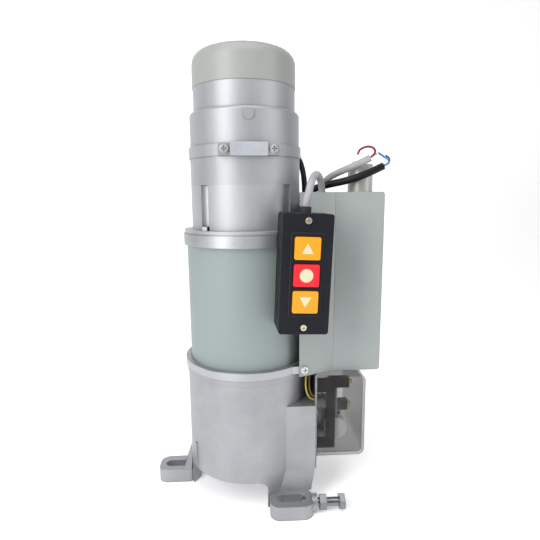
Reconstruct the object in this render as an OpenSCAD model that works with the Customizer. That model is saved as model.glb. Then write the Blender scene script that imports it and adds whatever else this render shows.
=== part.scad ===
// Rolling door operator: tube motor with gear case, brake, limit unit,
// control box and a three button station on its cable.
// Origin on the motor axis at the plane that the feet stand on, +Z along the motor.

/* [Feet] */
// Radius of the circle that the slot centres lie on
foot_circle_r = 75; // [73:0.5:77]
// Length of a foot along X
foot_len = 40; // [38:1:42]
// Width of a foot along Y
foot_wid = 27; // [25:1:29]
// Thickness of a foot
foot_t = 13.4; // [12:0.1:15]
// Corner radius of a foot
foot_corner_r = 9.5; // [6:0.5:12]
// Overall length of a slot
slot_len = 27; // [22:1:29]
// Width of a slot
slot_w = 11.6; // [9:0.1:13]

/* [Gear housing] */
// Outer radius of the gear housing
gear_r = 60.5; // [60:0.1:61]
// Radius of the gear space inside
gear_bore_r = 55.5; // [55.2:0.1:56]
// Height of the lower rim above the feet
arch_h = 26.5; // [24:0.5:28]
// Corner radius of the arches between the legs
arch_fillet = 8; // [4:0.5:10]
// Thickness of the floor over the arches
floor_t = 7.5; // [6:0.5:8]
// Height of the socket for the tube
socket_h = 13; // [10:0.5:15]
// Outer radius of the socket ring
socket_r = 61.5; // [61.2:0.1:62]
// Height of the whole gear housing
housing_h = 135.7; // [132:0.1:140]
// Width of a leg around the wall
leg_w = 31; // [26:1:36]
// Wall of a leg
leg_wall = 8.5; // [7:0.5:10]
// Half width of the pad for the limit unit
pad_half = 50; // [48:0.5:52]
// Height of the top of the pad
pad_top = 97; // [94:0.5:98]
// Height where the pad runs out into the feet
pad_low = 34; // [33:0.5:36]
// Place of the inner edge of the pad along X
pad_x = 34; // [32:0.5:36]
// Place of the flat face of the pad along X
pad_face_x = 61.7; // [61.6:0.1:61.9]
// Radius of the shaft bearing boss in the floor
boss_r = 24.4; // [23.5:0.1:24.4]
// Depth of the shaft boss under the floor
boss_drop = 8.5; // [6:0.5:10]
// Height of the shaft boss over the floor
boss_rise = 7; // [5:0.5:7.5]
// Radius of the threaded bolt boss on a foot
bolt_boss_r = 8; // [7:0.2:9]
// Length of the threaded bolt boss
bolt_boss_len = 4; // [3:0.5:5]

/* [Stator tube] */
// Outer radius of the plastic tube
tube_r = 57; // [56.5:0.1:57]
// Wall of the plastic tube
tube_wall = 3.5; // [3:0.1:4]
// Length of tube that shows
tube_len = 110.6; // [105:0.1:130]
// Inner radius of the stator core
core_bore_r = 32.6; // [30:0.1:36]
// Stack length of the stator core
core_len = 80; // [60:1:84]

/* [End bell] */
// Height of the flange of the end bell
bell_flange_h = 14.6; // [13:0.1:16]
// Radius of the flange
bell_flange_r = 59; // [58.5:0.1:59.3]
// Outer radius of the end bell
bell_r = 51.4; // [51:0.1:51.8]
// Height of the end bell over its flange
bell_h = 69.1; // [62:0.1:74]
// Wall of the end bell
bell_wall = 6.9; // [6.7:0.1:7.5]
// Height of the flutes over the bolt heads
flute_h = 39.9; // [20:0.1:45]

/* [Brake] */
// Outer radius of the brake housing
brake_r = 50.8; // [50:0.1:51]
// Height of the brake housing
brake_h = 35.5; // [33:0.5:40]
// Outer radius of the neck under the cap
neck_r = 46.9; // [46:0.1:47.2]
// Height of the neck that shows
neck_h = 21.2; // [20:0.1:24]
// Wall of the brake housing
brake_wall = 4; // [3.5:0.1:4.5]
// Rounding of the shoulder of the brake housing
shoulder_r = 3.5; // [2:0.1:3.8]
// Stroke of the brake armature
armature_stroke = 0.6; // [0.3:0.1:1]

/* [Cap] */
// Outer radius of the cap
cap_r = 47.4; // [47.2:0.1:48.5]
// Height of the cap
cap_h = 34.3; // [30:0.1:38]
// Radius of the rounded edge of the cap
cap_edge_r = 12; // [8:0.5:14]
// Rise of the crown of the cap
cap_crown = 2.4; // [1:0.1:4]
// Wall of the cap
cap_wall = 2.5; // [2:0.1:3]

/* [Straps] */
// Thickness of strap steel
strap_t = 0.9; // [0.7:0.1:1]
// Height of the top strap
top_strap_h = 10; // [9:0.5:12]
// Height of the upper box strap
upper_strap_h = 10.4; // [9:0.1:11]
// Height of the lower box strap
lower_strap_h = 7; // [6:0.1:7]

/* [Control box] */
// Height of the underside of the box
box_low = 126; // [124:0.5:127]
// Height of the box
box_h = 168; // [165:1:176]
// Place of the web of the box along X
box_web_x = 80.2; // [79:0.1:82]
// Place of the outer face of the box along X
box_face_x = 125; // [124.9:0.1:128]
// Depth of the box
box_depth = 72.4; // [68:0.2:76]
// Sheet thickness
sheet_t = 1.2; // [1:0.1:1.5]
// Place of the tip of an ear along X
ear_tip_x = 46.6; // [45:0.1:48]
// Place of the tip of an ear along Y
ear_tip_y = 49; // [48.5:0.1:50]
// Radius of the capacitor
capacitor_r = 11.9; // [10:0.1:11.9]
// Length of the capacitor
capacitor_len = 94; // [85:1:96]

/* [Limit unit] */
// Thickness of the limit plate
limit_plate_t = 2; // [1.5:0.1:2.5]
// Height of the lower edge of the limit plate
limit_plate_low = 31; // [30:0.5:32]
// Height of the clear cover
cover_h = 81.5; // [80:0.5:82]
// Height of the underside of the clear cover
cover_low = 43; // [42:0.5:44]
// Place of the outer face of the clear cover along X
cover_face_x = 110; // [108:0.5:114]
// Half depth of the clear cover
cover_half = 45; // [44:0.5:45.5]
// Wall of the clear cover
cover_wall = 2; // [1.5:0.1:2.2]

/* [Gears] */
// Tooth size of the first and last gear pairs
fine_mod = 1; // [0.99:0.01:1]
// Teeth of each pinion
pinion_teeth = 12; // [12:1:12]
// Teeth of the first and last gears
wheel_teeth = 48; // [48:1:48]
// Teeth of the middle gear
middle_teeth = 36; // [36:1:36]
// Teeth of the pinion that drives the limit unit
limit_teeth = 24; // [24:1:24]
// Radius of the rotor shaft
rotor_shaft_r = 7.5; // [6.5:0.5:7.5]
// Radius of the output shaft
output_shaft_r = 10; // [9:0.5:11]
// Running clearance of a shaft in its hole
run_gap = 0.05; // [0.03:0.01:0.1]

/* [Sprocket] */
// Pitch of the chain
chain_pitch = 12.7; // [12:0.1:12.7]
// Roller diameter of the chain
roller_d = 8.5; // [8:0.1:8.6]
// Teeth of the output sprocket
sprocket_teeth = 12; // [10:1:13]
// Thickness of the sprocket teeth
sprocket_t = 7.2; // [6.5:0.1:7.5]

/* [Button station] */
// Width of the station
station_w = 42; // [40:0.5:44]
// Height of the station
station_h = 99.5; // [98:0.5:102]
// Depth of the station
station_d = 29.8; // [29:0.2:31]
// Lean of the station to the right in degrees
station_lean = 2.5; // [0:0.5:3]
// Turn of the station to the left in degrees
station_turn = 3; // [0:0.5:4]
// Width of a button
button_w = 21.2; // [20:0.1:22]
// Height of a button
button_h = 18.4; // [17:0.1:19]
// Spacing of the buttons
button_pitch = 22; // [21:0.1:23]
// Travel of a button
button_travel = 2; // [1:0.1:2.5]

/* [Tension bolts] */
// Radius of the bolt thread
bolt_r = 4; // [3.5:0.1:4]
// Width of the bolt head across flats
bolt_af = 13; // [12:0.5:13]
// Length of the bolt under its head
bolt_len = 35; // [33:0.5:38]
// Thickness of the bolt head
bolt_head_t = 5.3; // [4.5:0.1:6]
// Thickness of the lock nut
nut_t = 6.5; // [5:0.1:6.8]

/* [Cords] */
// Diameter of the station cable and the control lead
grey_d = 6.4; // [5.5:0.1:6.6]
// Diameter of the supply lead
black_d = 6.8; // [6:0.1:7]
// Diameter of the motor lead
motor_lead_d = 5.5; // [5:0.1:6]
// Diameter of a core
core_d = 2; // [1.8:0.1:2.2]
// Diameter of a limit wire
wire_d = 1.8; // [1.5:0.1:2]

/* [Hidden] */
$fn = 48;
eps = 0.01;
over = 1;
// Gaps: sliding fit of sheet parts, fit of pressed parts, and free play
fit = 0.1;
play = 0.3;
shell = 2;

// Height of each joint up the motor
rim_lip = 1;
floor_low = arch_h + rim_lip;
floor_top = floor_low + floor_t;
tube_low = housing_h - socket_h;
bell_low = housing_h + tube_len;
flange_top = bell_low + bell_flange_h;
bell_top = flange_top + bell_h;
brake_top = bell_top + brake_h;
cap_low = brake_top + neck_h;
cap_top = cap_low + cap_h;
tube_bore_r = tube_r - tube_wall;
core_r = tube_bore_r - fit;
winding_rise = 11.5;
winding_clear = 0.5;
winding_h = (socket_h + tube_len - core_len - winding_rise - winding_clear) / 2 - play;
core_rise = winding_rise + winding_h + play;
core_low = tube_low + core_rise;
bell_bore_r = bell_r - bell_wall;
foot_angles = [180, -60, 60];
foot_x = foot_circle_r * cos(60);
foot_y = foot_circle_r * sin(60);
bolt_boss_x = foot_x + foot_len / 2;
web_over_foot = 2.5;
// Small upright rib on the front left of the gear case
rib_angle = 210;
rib_w = 3;
rib_h = 26;
rib_rise = 0.9;
gusset_reach = 8;
gusset_h = 24;
gusset_half = 6;

// Gear train: shaft places and levels
first_angle = 150;
second_angle = 210;
fine_pinion_r = fine_mod * pinion_teeth / 2;
fine_wheel_r = fine_mod * wheel_teeth / 2;
shaft_circle_r = fine_pinion_r + fine_wheel_r;
middle_mod = 2 * shaft_circle_r / (pinion_teeth + middle_teeth);
idler_mod = fine_mod;
idler_x = fine_wheel_r + idler_mod * middle_teeth / 2;
limit_x = idler_x + idler_mod * (middle_teeth + limit_teeth) / 2;
tooth_share = 0.84;
tip_share = 0.85;
root_share = 1.12;
shaft_r = 4.5;
journal_len = 5;
output_z = 44;
output_gear_t = 10;
middle_z = 57;
middle_gear_t = 8;
first_z = 70;
first_gear_t = 8;
pinion_extra = 1;
plate_z = 84;
plate_t = 8;
plate_r = gear_bore_r - fit;
idler_z = 49;
idler_t = 4.5;
idler_pin_r = 4;
idler_boss_r = 7;
pillar_r = 4.5;
pillar_circle_r = 51.3;
pillar_angles = [70, 115, 265];
output_bearing_r = 21;
output_bearing_t = 11;
bearing_lip_r = 17.5;
bearing_lip_t = 1;
rotor_bearing_r = 17.5;
rotor_bearing_t = 11;
bearing_boss_wall = 4;
race_t = 2.6;
shield_depth = 1;

// Motor inside
tie_circle_r = 50.8;
tie_angles = [45, 135, 225, 315];
tie_r = 2.4;
tie_hole_r = 2.7;
tie_head_r = 4.5;
tie_head_h = 3.6;
flute_r = 5;
tie_depth = 12;
tie_boss_h = 18;
tie_boss_r = 6;
slots = 24;
slot_depth = 13;
slot_gap = 3.4;
slot_start = 1.5;
winding_in = 35.5;
winding_out = 46;
rotor_r = 32;
rotor_shaft_low = 69;
bell_web_t = 14;
bell_web_z = bell_top - bell_web_t;
shaft_over_disc = 6;

// Brake inside
disc_gap = 0.1;
magnet_h = 16;
magnet_r = 40;
magnet_in = 12;
coil_in = 20;
coil_out = 33;
coil_h = 10;
armature_gap = armature_stroke + disc_gap;
armature_t = 4;
disc_t = 5;
disc_r = 33.5;
pin_circle_r = 37;
guide_r = 1.8;
brake_web_t = 4;
disc_z = bell_top + magnet_h + armature_gap + armature_t + disc_gap;
hub_r = 13;
hub_h = 12;
plug_r = 5;
plug_proud = 0.4;
plug_depth = 3;
plug_angle = -86.4;
plug_below_top = 7;
cap_lap = 6;
crown_step = 0.2;
neck_bore_r = neck_r - brake_wall;
brake_bore_r = brake_r - brake_wall;

// Straps and their screws
strap_gap_half = 21;
lug_w = 10;
bridge_t = 1.4;
screw_head_r = 4;
screw_head_h = 2.2;
head_taper = 0.82;
screw_r = 1.9;
screw_len = 7;
recess_w = 1;
recess_len = 4.4;
recess_depth = 1.1;
top_strap_r = bell_r + fit;
top_strap_drop = 5.2;
top_strap_z = bell_top - top_strap_drop;
upper_strap_rise = 0.6;
upper_strap_z = bell_low + upper_strap_rise;
lower_strap_z = housing_h - lower_strap_h;
tab_angle = -49;
tab_lap = 1.5;
strap_bite = 0.1;
upper_lap = -146;
lower_lap = -128;
lap_turn = 14;
tab_reach = 9;

// Control box
box_top = box_low + box_h;
box_half = box_depth / 2;
cover_start_x = box_web_x + fit;
ear_root = [box_web_x - sheet_t / 2, -box_half + sheet_t / 2];
ear_tip = [ear_tip_x, -ear_tip_y];
ear_angle = atan2(ear_root[1] - ear_tip[1], ear_root[0] - ear_tip[0]);
ear_dir = [cos(ear_angle), sin(ear_angle)];
ear_out = [sin(ear_angle), -cos(ear_angle)];
top_plate_drop = 12;
plate_start_x = 50;
web_hole_w = 40;
web_hole_h = 26;
web_hole_rise = 10;
box_corner_r = 3;
capacitor_proud = 26;
shelf_z = box_top + capacitor_proud - capacitor_len;
web_hole_z = shelf_z + web_hole_rise;
shelf_half = 14;
capacitor_gap = 1;
capacitor_x = box_face_x - sheet_t - capacitor_r - capacitor_gap;
capacitor_nub_r = 3;
capacitor_nub_h = 3;
capacitor_nub_x = -5;
board_w = 56;
board_low = 150;
board_h = 66;
board_t = 1.6;
standoff = 4;
standoff_r = 3;
standoff_inset = 5;
relay_size = [18, 16, 20];
relay_rise = 43;
transformer_size = [22, 34, 28];
terminal_size = [10, 44, 9];

// Leads through the top plate of the box
motor_hole = [58.5, 13];
supply_hole = [61, 3];
station_hole = [71.5, -15];
control_hole = [74.2, 9];
grommet_wall = 1.3;
hole_z = box_top - top_plate_drop;
lead_rise = 2;
grommet_lip = 0.8;
grommet_clear = 0.25;
clear_round = 1.5;
leads = [[motor_hole, motor_lead_d], [supply_hole, black_d], [station_hole, grey_d], [control_hole, grey_d]];
back_screw_in = 6;
back_screw_x = box_web_x + back_screw_in;
back_screw_edge = 24;
back_screw_z = [box_low + back_screw_edge, box_top - back_screw_edge];
ear_screw_in = 4.5;
ear_screw = ear_tip + ear_dir * ear_screw_in + ear_out * sheet_t / 2;
pin_depth = 3;
lug_stand = 1.9;
lug_face = top_strap_r + lug_stand;
lug_depth = 9.5;
lug_screw_len = 4.6;
lug_lap = 2;
lug_angle = asin((strap_gap_half - lug_w / 2) / top_strap_r);
strap_turn = 90 + plug_angle;
bridge_proud = 1.2;
bridge_over = 0.6;

// Limit unit
limit_z = 64;
worm_r = 3.5;
worm_crest = 0.45;
worm_len = 14;
worm_turn_len = 3.1416;
worm_shaft_r = 2.5;
worm_steps = 8;
white_teeth = 18;
white_mod = 1;
white_r = white_mod * white_teeth / 2;
worm_clear = 0.35;
white_x = limit_x + worm_r + white_r + worm_clear;
white_t = 7;
cam_r = 11;
cam_t = 4;
cam_dip = 1.6;
cam_places = [-24, -30];
cam_shaft_r = 2.6;
cam_shaft_front = -32;
frame_t = 1.5;
frame_front = -19;
frame_back = 14;
frame_low = 46;
frame_high = 80;
frame_end_x = 92;
shelf_reach = 8;
shelf_end_x = limit_x + shelf_reach;
upper_shelf_z = 75;
switch_size = [20, 6.4, 10.2];
switch_x = 77;
switch_low_z = 81;
carrier_clear = 4.5;
carrier_high = cover_low + cover_h - cover_wall - carrier_clear;
switch_drop = 11;
switch_high_z = carrier_high - switch_drop;
button_pin_r = 1.2;
pin_gap = 0.3;
pin_travel = 1.2;
adjuster_r = 2.6;
adjuster_len = 3.2;
carrier_x = 74.5;
carrier_w = 8.5;
carrier_t = 3;
carrier_front = -36.2;
carrier_low = 46;
arm_drop = 14;
arm_low = carrier_high - arm_drop;
arm_len_low = 10;
limit_corner_r = 6;
plate_half = 46;
notch_z = 92;
notch_h = 12;
notch_y = -43.5;
notch_w = 7;
plate_screw_z = [38, 84];
plate_screw_y = 36;
window_half = 11;

// Station pieces, in the station's own frame with y into the wall
station_at = [47.6, -84, 227.2];
front_d = 12;
station_corner_r = 2.5;
station_wall = 2.2;
panel_w = 26.6;
panel_h = 68.5;
panel_rise = 0.8;
button_gap = 0.6;
button_proud = 1.6;
button_corner_r = 1.6;
contact_size = [18, 62];
contact_y = 12.5;
station_screw_z = 44;
station_screw_r = 2.9;
post_r = 3.9;
station_thread_r = 1.6;
button_lip = 0.8;
button_lip_t = 1.4;
stem_w = 6;
gland_r = 5;
gland_h = 5;
gland_y = 17.5;

// Sprocket and tension bolts
sprocket_z = 10;
sprocket_r = chain_pitch / (2 * sin(180 / sprocket_teeth));
tooth_rise = 2.6;
sprocket_tip = sprocket_r + tooth_rise;
hub_sprocket_r = 15;
output_shaft_low = 6;
output_shaft_top = 55;
ring_t = 1.5;
bolt_tip_gap = 3.7;
nut_gap = 2.2;

// Cord routes, chosen by hand
station_route = [[49.1, -66.5, 282.4], [50, -66.2, 287], [52.2, -63.2, 293], [54.6, -57, 300],
    [58, -48, 306], [61.7, -38.5, 309.2], [65.3, -29.5, 308.8], [68.3, -22.5, 305],
    [70.4, -17.8, 299], [71.4, -15.4, 292], [71.5, -15, 284]];
motor_route = [[42.3, 29.6, 339], [47, 33, 338], [52, 32, 333], [55.6, 27.5, 325], [57.6, 22, 316],
    [58.5, 17, 306], [58.6, 13.8, 296], [58.5, 13, 284]];
supply_route = [[61, 3, 284], [61.3, 2.8, 289], [62.8, 2, 293.8], [66.6, 0.5, 297.4], [73, -2.4, 299.8],
    [81, -6.5, 301.8], [90, -11.5, 303.6], [100, -15.8, 306.2], [109, -18, 309.3],
    [118, -19.3, 313.1], [127.5, -20, 317.6]];
control_route = [[74.2, 9, 284], [74.2, 9, 290.5], [74.7, 8.7, 297], [76.9, 7.3, 303], [81, 3.2, 308],
    [86.6, -3.2, 311.6], [93.5, -10.2, 314.8], [101, -15.8, 318], [108, -18.3, 321.2],
    [115, -19.6, 324.7]];
wire_routes = [[[56, -34, 125.4], [54, -37.4, 117], [54.4, -40.4, 108], [57.4, -41.2, 101.6],
    [62.7, -40.6, 98.6], [67, -37.6, 95], [71.5, -31.4, 91], [76.2, -26.9, 88]],
    [[60, -30, 125.2], [58, -34, 117], [57.8, -37.4, 109], [59.6, -38.6, 103.6],
    [63, -38.4, 101.4], [68, -36.4, 101.4], [72, -31.4, 104], [76.2, -30.3, 108.3]]];
core_routes = [
    [[127.9, -21.4, 318], [131.6, -21.2, 319.8], [131.2, -21.8, 323], [126.6, -22, 326], [121.6, -22, 329]],
    [[128.1, -18.6, 317.7], [132.6, -18.8, 320.4], [133, -18.4, 324.4], [129.6, -18, 327]],
    [[115.7, -18.3, 325.4], [118.4, -19, 327.6], [121, -18.8, 328.4]],
    [[115.3, -21, 325.2], [119, -21.2, 329.6], [116.6, -22, 333.6], [110.6, -22.4, 334.4], [104.6, -22.4, 331.8],
    [102.6, -22, 327.6]]];

// A ring between two radii
module ring(z, h, r_out, r_in) {
    translate([0, 0, z]) difference() {
        cylinder(h = h, r = r_out, $fn = 96);
        translate([0, 0, -over]) cylinder(h = h + 2 * over, r = r_in, $fn = 96);
    }
}

// Part of a ring, from one angle to another
module band(z, h, r_in, t, from, to) {
    translate([0, 0, z]) rotate([0, 0, from]) rotate_extrude(angle = to - from, $fn = 96)
        translate([r_in, 0]) square([t, h]);
}

// Outline of a strip bent round the axis, from one angle to another
module arc_strip(r_in, t, from, to) {
    intersection() {
        difference() {
            circle(r = r_in + t, $fn = 96);
            circle(r = r_in, $fn = 96);
        }
        polygon(concat([[0, 0]], [for (k = [0 : 6])
            let (a = from + (to - from) * k / 6) 2 * r_in * [cos(a), sin(a)]]));
    }
}

// Outline of a flat plate that stands on edge between two points
module wall_between(p, q, t) {
    d = q - p;
    translate(p) rotate(atan2(d[1], d[0])) translate([0, -t / 2]) square([norm(d), t]);
}

// Rectangle with round corners, built from true circles
module round_rect(w, h, r) {
    square([w - 2 * r, h], center = true);
    square([w, h - 2 * r], center = true);
    for (x = [-1, 1], y = [-1, 1])
        translate([x * (w / 2 - r), y * (h / 2 - r)]) circle(r = r);
}

// Slot outline along X
module slot_shape(length, w) {
    square([length - w, w], center = true);
    for (x = [-1, 1]) translate([x * (length - w) / 2, 0]) circle(r = w / 2);
}

// Points of a gear with straight sided teeth, one tooth centred on +X
function gear_points(n, m) = let (
    tip = m * (n / 2 + tip_share), root = m * (n / 2 - root_share),
    half = 90 / n * tooth_share, slope = tan(20) * 180 / PI,
    tip_a = half - slope * m * tip_share / tip, root_a = half + slope * m * root_share / root / 2)
    [for (i = [0 : n - 1]) for (p = [[root, -root_a], [tip, -tip_a], [tip, tip_a], [root, root_a]])
        p[0] * [cos(360 / n * i + p[1]), sin(360 / n * i + p[1])]];

// Gear with one tooth turned to the given angle
module gear(x, y, z, t, n, m, turn) {
    translate([x, y, z]) rotate([0, 0, turn]) linear_extrude(t) polygon(gear_points(n, m));
}

// Pan head screw along -Z with its head on z = 0
module pan_screw(head_r, head_h, r, length) {
    difference() {
        cylinder(h = head_h, r1 = head_r, r2 = head_r * head_taper, $fn = 32);
        for (a = [0, 90]) rotate([0, 0, a]) translate([0, 0, head_h])
            cube([recess_len * head_r / screw_head_r, recess_w, 2 * recess_depth], center = true);
    }
    translate([0, 0, -length]) cylinder(h = length + eps, r = r);
}

// Tube of a cord swept along its points, with its rings square to the path
function way(p, i) = let (a = p[max(i - 1, 0)], b = p[min(i + 1, len(p) - 1)]) (b - a) / norm(b - a);
module cord(p, d, n, side) {
    rings = [for (i = [0 : len(p) - 1]) let (
        t = way(p, i), u0 = cross(t, side), u = u0 / norm(u0), v = cross(t, u))
        for (k = [0 : n - 1]) p[i] + d / 2 * (cos(360 / n * k) * u + sin(360 / n * k) * v)];
    last = len(p) - 1;
    polyhedron(points = rings, faces = concat(
        [[for (k = [0 : n - 1]) k]], [[for (k = [n - 1 : -1 : 0]) last * n + k]],
        [for (i = [0 : last - 1]) for (k = [0 : n - 1])
            [i * n + k, (i + 1) * n + k, (i + 1) * n + (k + 1) % n]],
        [for (i = [0 : last - 1]) for (k = [0 : n - 1])
            [i * n + k, (i + 1) * n + (k + 1) % n, i * n + (k + 1) % n]]));
}

function around(r, a) = [r * cos(a), r * sin(a), 0];
first_at = around(shaft_circle_r, first_angle);
second_at = around(shaft_circle_r, second_angle);

// Outline of one arch between two legs, seen along the radius
module arch_shape() {
    w = 2 * gear_r * sin(60 - asin(leg_w / 2 / gear_r));
    translate([-w / 2, -over]) square([w, arch_h - arch_fillet + over]);
    translate([-w / 2 + arch_fillet, -over]) square([w - 2 * arch_fillet, arch_h + over]);
    for (x = [-1, 1]) translate([x * (w / 2 - arch_fillet), arch_h - arch_fillet]) circle(r = arch_fillet);
}

module foot(a) {
    c = around(foot_circle_r, a);
    difference() {
        union() {
            translate(c) linear_extrude(foot_t) round_rect(foot_len, foot_wid, foot_corner_r);
            if (a == 180) gusset();
        }
        translate([c[0], c[1], -over]) linear_extrude(foot_t + gusset_h + 2 * over)
            slot_shape(slot_len, slot_w);
        if (a != 180) translate([c[0], c[1], bolt_boss_r]) rotate([0, 90, 0])
            cylinder(h = foot_len, r = bolt_r + run_gap);
    }
}

// Sloped web from the pad down to a foot on the right hand side
module foot_web(side) {
    c = around(foot_circle_r, 60);
    low_w = c[1] - foot_wid / 2 + web_over_foot;
    hull() {
        translate([pad_x, side > 0 ? pad_half - leg_wall : -pad_half, pad_low])
            cube([pad_face_x - pad_x, leg_wall, eps]);
        translate([c[0] - foot_len / 2 + foot_corner_r, side > 0 ? pad_half - leg_wall : -low_w, foot_t - eps])
            cube([foot_len - foot_corner_r, low_w - pad_half + leg_wall, eps]);
    }
}

// Wedge between the left leg and its foot
module gusset() {
    hull() {
        translate([-gear_r - gusset_reach, -foot_wid / 2 + over, foot_t - over])
            cube([gusset_reach, foot_wid - 2 * over, over]);
        translate([-gear_r, -gusset_half, foot_t + gusset_h]) cube([over, 2 * gusset_half, eps]);
    }
}

module gear_housing() {
    boss_low = floor_low - boss_drop;
    idler_tip = idler_mod * (middle_teeth / 2 + tip_share);
    color("silver") {
        difference() {
            union() {
                cylinder(h = tube_low, r = gear_r, $fn = 96);
                translate([0, 0, tube_low]) cylinder(h = socket_h, r = socket_r, $fn = 96);
                translate([pad_x, -pad_half, pad_low])
                    cube([pad_face_x - pad_x, 2 * pad_half, pad_top - pad_low]);
            }
            translate([0, 0, -over]) cylinder(h = floor_low + over, r = gear_r - leg_wall, $fn = 96);
            for (a = [-120, 0, 120]) rotate([90, 0, 90 + a])
                linear_extrude(socket_r + over) arch_shape();
            translate([0, 0, floor_top]) cylinder(h = housing_h, r = gear_bore_r, $fn = 96);
            translate([0, 0, tube_low]) cylinder(h = socket_h + over, r = tube_r + fit, $fn = 96);
            translate([0, 0, floor_low - over]) cylinder(h = floor_t + 2 * over, r = boss_r - over);
            translate([idler_x, 0, idler_z - play]) cylinder(h = idler_t + 2 * play, r = idler_tip + play);
            translate([gear_bore_r - over, -window_half, idler_z - play])
                cube([pad_face_x, 2 * window_half, idler_t + 2 * play]);
            for (p = [first_at, second_at]) translate(p) translate([0, 0, floor_top - journal_len])
                cylinder(h = floor_t, r = shaft_r + run_gap);
            plate_screw_places() cylinder(h = 2 * screw_len, r = screw_r + fit, center = true);
        }
        difference() {
            translate([0, 0, boss_low]) cylinder(h = boss_drop + floor_t + boss_rise, r = boss_r);
            translate([0, 0, boss_low + bearing_lip_t]) cylinder(h = housing_h, r = output_bearing_r);
            translate([0, 0, boss_low - over]) cylinder(h = housing_h, r = bearing_lip_r);
        }
        for (a = foot_angles) foot(a);
        rotate([0, 0, rib_angle]) translate([gear_r - over, -rib_w / 2, arch_h + rim_lip])
            cube([over + rib_rise, rib_w, rib_h]);
        for (s = [-1, 1]) difference() {
            union() {
                foot_web(s);
                translate([bolt_boss_x - over, s * foot_y, bolt_boss_r]) rotate([0, 90, 0])
                    cylinder(h = bolt_boss_len + over, r = bolt_boss_r);
            }
            translate([0, s * foot_y, bolt_boss_r]) rotate([0, 90, 0])
                cylinder(h = pad_face_x + over, r = bolt_r + run_gap);
            translate([0, 0, -over]) cylinder(h = pad_top, r = gear_bore_r);
        }
        for (a = pillar_angles) translate(around(pillar_circle_r, a)) difference() {
            translate([0, 0, floor_top - over]) cylinder(h = plate_z - floor_top + over, r = pillar_r);
            translate([0, 0, plate_z - 2 * screw_len]) cylinder(h = 2 * screw_len + over, r = screw_r + fit);
        }
        for (a = tie_angles) translate(around(tie_circle_r, a)) difference() {
            translate([0, 0, tube_low - tie_boss_h]) cylinder(h = tie_boss_h, r = tie_boss_r);
            translate([0, 0, tube_low - tie_depth]) cylinder(h = tie_boss_h, r = tie_r + fit);
        }
        translate([idler_x, 0, floor_top - over]) {
            cylinder(h = idler_z - play - floor_top + over, r = idler_boss_r);
            cylinder(h = idler_z + idler_t - floor_top + over, r = idler_pin_r);
        }
    }
}

module gear_plate() {
    color("lightgray") difference() {
        union() {
            translate([0, 0, plate_z]) cylinder(h = plate_t, r = plate_r, $fn = 96);
            translate([0, 0, plate_z])
                cylinder(h = bearing_lip_t + rotor_bearing_t, r = rotor_bearing_r + bearing_boss_wall);
        }
        translate([0, 0, plate_z + bearing_lip_t]) cylinder(h = housing_h, r = rotor_bearing_r);
        translate([0, 0, plate_z - over]) cylinder(h = housing_h, r = rotor_bearing_r - bearing_boss_wall);
        for (p = [first_at, second_at]) translate(p) translate([0, 0, plate_z - over])
            cylinder(h = journal_len + over, r = shaft_r + run_gap);
        for (a = pillar_angles) translate(around(pillar_circle_r, a)) translate([0, 0, plate_z - over])
            cylinder(h = plate_t + 2 * over, r = screw_r + fit);
        for (a = tie_angles) translate(around(tie_circle_r, a)) translate([0, 0, plate_z - over])
            cylinder(h = plate_t + 2 * over, r = tie_boss_r + play);
    }
}

// Ball bearing with sunk shields
module bearing(z, r_out, r_in, t) {
    difference() {
        ring(z, t, r_out, r_in);
        for (e = [z - over, z + t - shield_depth])
            ring(e, shield_depth + over, r_out - race_t, r_in + race_t);
    }
}

module output_bearings() {
    for (i = [0, 1]) color("gainsboro") bearing(floor_low - boss_drop + bearing_lip_t + i * output_bearing_t,
        output_bearing_r, output_shaft_r + run_gap, output_bearing_t - fit);
}

module rotor_bearings() {
    for (z = [plate_z + bearing_lip_t, bell_web_z]) color("gainsboro")
        bearing(z, rotor_bearing_r, rotor_shaft_r + run_gap, rotor_bearing_t);
}

module stator_tube() {
    color([0.62, 0.66, 0.65]) ring(tube_low, bell_low - tube_low, tube_r, tube_bore_r);
}

module stator_core() {
    color("dimgray") difference() {
        ring(core_low, core_len, core_r, core_bore_r);
        for (a = tie_angles) translate(around(tie_circle_r, a)) translate([0, 0, core_low - over])
            cylinder(h = core_len + 2 * over, r = tie_hole_r);
        for (i = [0 : slots - 1]) rotate([0, 0, 360 / slots * i])
            translate([core_bore_r + slot_start, -slot_gap / 2, core_low - over])
                cube([slot_depth, slot_gap, core_len + 2 * over]);
    }
}

module stator_windings() {
    color("peru") {
        for (z = [core_low - play - winding_h, core_low + core_len + play])
            ring(z, winding_h, winding_out, winding_in);
        for (i = [0 : slots - 1]) rotate([0, 0, 360 / slots * i])
            translate([winding_in, -slot_gap / 2 + play, core_low - over])
                cube([slot_depth + slot_start + core_bore_r - play - winding_in, slot_gap - 2 * play,
                    core_len + 2 * over]);
    }
}

module end_bell() {
    color("silver") difference() {
        union() {
            translate([0, 0, bell_low]) cylinder(h = bell_flange_h, r = bell_flange_r, $fn = 96);
            translate([0, 0, flange_top - over]) cylinder(h = bell_h + over, r = bell_r, $fn = 96);
        }
        translate([0, 0, bell_low - over]) cylinder(h = bell_web_z + over - bell_low, r = bell_bore_r, $fn = 96);
        translate([0, 0, bell_web_z - over]) cylinder(h = rotor_bearing_t + over, r = rotor_bearing_r);
        translate([0, 0, bell_web_z]) cylinder(h = housing_h, r = rotor_bearing_r - bearing_boss_wall);
        for (a = tie_angles) translate(around(tie_circle_r, a)) {
            translate([0, 0, bell_low - over]) cylinder(h = bell_flange_h + 2 * over, r = tie_hole_r);
            translate([0, 0, flange_top]) cylinder(h = flute_h, r = flute_r);
        }
    }
}

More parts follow.
